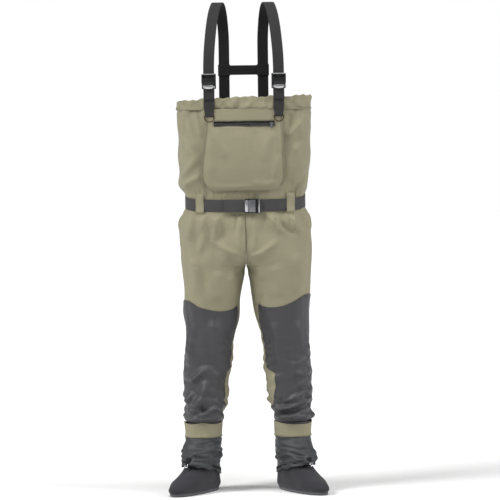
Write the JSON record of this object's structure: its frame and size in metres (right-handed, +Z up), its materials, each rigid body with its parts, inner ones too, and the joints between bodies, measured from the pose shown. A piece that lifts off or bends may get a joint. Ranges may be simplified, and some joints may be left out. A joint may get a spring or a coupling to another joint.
{
  "type": "chest waders",
  "caption": "Breathable chest waders with stocking feet, a zipped chest pocket, a cam-buckled belt and braces, knee overlays and gaiters, shaped as worn.",
  "frame": {"origin": "on the floor under the middle of the object's box, between the soles", "axes": "+Z up from soles to straps, the front faces -Y, +X is the viewer's right from the front"},
  "size_m": [0.5588, 0.3152, 1.7128],
  "materials": {
    "shell_fabric": "matte",
    "overlay_fabric": "matte",
    "neoprene": "matte",
    "sole_neoprene": "matte",
    "elastic": "matte",
    "seam_tape": "satin",
    "lining": "matte",
    "front_webbing": "matte",
    "back_webbing": "matte",
    "zip_tape": "gloss",
    "zip_plastic": "satin",
    "zip_metal": "satin",
    "buckle_plastic": "satin",
    "lever_metal": "satin",
    "steel": "satin",
    "ring_metal": "satin"
  },
  "bodies": {
    "waders": {"bib_front_panel": "shell_fabric", "bib_back_panel": "shell_fabric", "hem_casing": "shell_fabric", "trouser_left": "shell_fabric", "trouser_right": "shell_fabric", "chest_pocket_panel": "shell_fabric", "belt_carrier_left": "shell_fabric", "belt_carrier_right": "shell_fabric", "belt_carrier_back": "shell_fabric", "gaiter_band_left": "shell_fabric", "gaiter_band_right": "shell_fabric", "leg_overlay_left": "overlay_fabric", "leg_overlay_right": "overlay_fabric", "gaiter_left": "overlay_fabric", "gaiter_right": "overlay_fabric", "sock_upper_left": "neoprene", "sock_upper_right": "neoprene", "sock_sole_left": "sole_neoprene", "sock_sole_right": "sole_neoprene", "hem_elastic": "elastic", "gaiter_elastic_left": "elastic", "gaiter_elastic_right": "elastic", "centre_seam_tape": "seam_tape", "pocket_lining": "lining", "shoulder_strap_left": "front_webbing", "shoulder_strap_right": "front_webbing", "belt_webbing": "front_webbing", "chest_tab_left": "front_webbing", "chest_tab_right": "front_webbing", "back_anchor_left": "back_webbing", "back_anchor_right": "back_webbing", "hook_tab_left": "back_webbing", "hook_tab_right": "back_webbing", "zip_tape_upper": "zip_tape", "zip_tape_lower": "zip_tape", "zip_chain": "zip_plastic", "zip_stops": "zip_plastic", "shoulder_buckle_frame_left": "buckle_plastic", "shoulder_buckle_frame_right": "buckle_plastic", "belt_buckle_frame": "buckle_plastic", "shoulder_buckle_pin_left": "steel", "shoulder_buckle_pin_right": "steel", "belt_buckle_pin": "steel", "shoulder_buckle_spring_left": "steel", "shoulder_buckle_spring_right": "steel", "belt_buckle_spring": "steel"},
    "zip_slider": {"zip_slider": "zip_metal"},
    "zip_pull": {"zip_pull": "zip_metal"},
    "cam_lever_right": {"shoulder_buckle_lever_right": "lever_metal"},
    "cam_lever_left": {"shoulder_buckle_lever_left": "lever_metal"},
    "belt_lever": {"belt_buckle_lever": "lever_metal"},
    "d_ring_right": {"d_ring_right": "ring_metal"},
    "d_ring_left": {"d_ring_left": "ring_metal"},
    "gaiter_hook_right": {"gaiter_hook_right": "steel"},
    "gaiter_hook_left": {"gaiter_hook_left": "steel"},
    "back_crosspiece": {"back_crosspiece": "back_webbing"}
  },
  "joints": [
    {"name": "zip_slide", "type": "slide", "parent": "waders", "child": "zip_slider", "axis": [1, 0, 0], "range_m": [-0.188, 0]},
    {"name": "zip_pull_swing", "type": "hinge", "parent": "zip_slider", "child": "zip_pull", "pos_m": [0.094, -0.1295, 1.287], "axis": [-1, 0, 0], "range_deg": [0, 150]},
    {"name": "shoulder_cam_right", "type": "hinge", "parent": "waders", "child": "cam_lever_right", "pos_m": [0.12085, -0.12988, 1.439], "axis": [-0.9925, -0.1219, 0], "range_deg": [0, 65], "stiffness_Nm_per_rad": 0.03, "springref_deg": -20.05},
    {"name": "shoulder_cam_left", "type": "hinge", "parent": "waders", "child": "cam_lever_left", "pos_m": [-0.12085, -0.12988, 1.439], "axis": [-0.9925, 0.1219, 0], "range_deg": [0, 65], "stiffness_Nm_per_rad": 0.03, "springref_deg": -20.05},
    {"name": "belt_cam", "type": "hinge", "parent": "waders", "child": "belt_lever", "pos_m": [0.031, -0.1195, 1.00208], "axis": [0, 0, 1], "range_deg": [0, 65], "stiffness_Nm_per_rad": 0.03, "springref_deg": -20.05},
    {"name": "d_ring_swing_right", "type": "hinge", "parent": "waders", "child": "d_ring_right", "pos_m": [0.11988, -0.12194, 1.314], "axis": [-0.9925, -0.1219, 0], "range_deg": [0, 100]},
    {"name": "d_ring_swing_left", "type": "hinge", "parent": "waders", "child": "d_ring_left", "pos_m": [-0.11988, -0.12194, 1.314], "axis": [-0.9925, 0.1219, 0], "range_deg": [0, 100]},
    {"name": "gaiter_hook_swing_right", "type": "hinge", "parent": "waders", "child": "gaiter_hook_right", "pos_m": [0.21621, -0.07576, 0.104], "axis": [-0.848, -0.5299, 0], "range_deg": [0, 80]},
    {"name": "gaiter_hook_swing_left", "type": "hinge", "parent": "waders", "child": "gaiter_hook_left", "pos_m": [-0.21621, -0.07576, 0.104], "axis": [-0.848, 0.5299, 0], "range_deg": [0, 80]},
    {"name": "crosspiece_slide", "type": "slide", "parent": "waders", "child": "back_crosspiece", "axis": [0, 0, 1], "range_m": [-0.05, 0.05]}
  ]
}
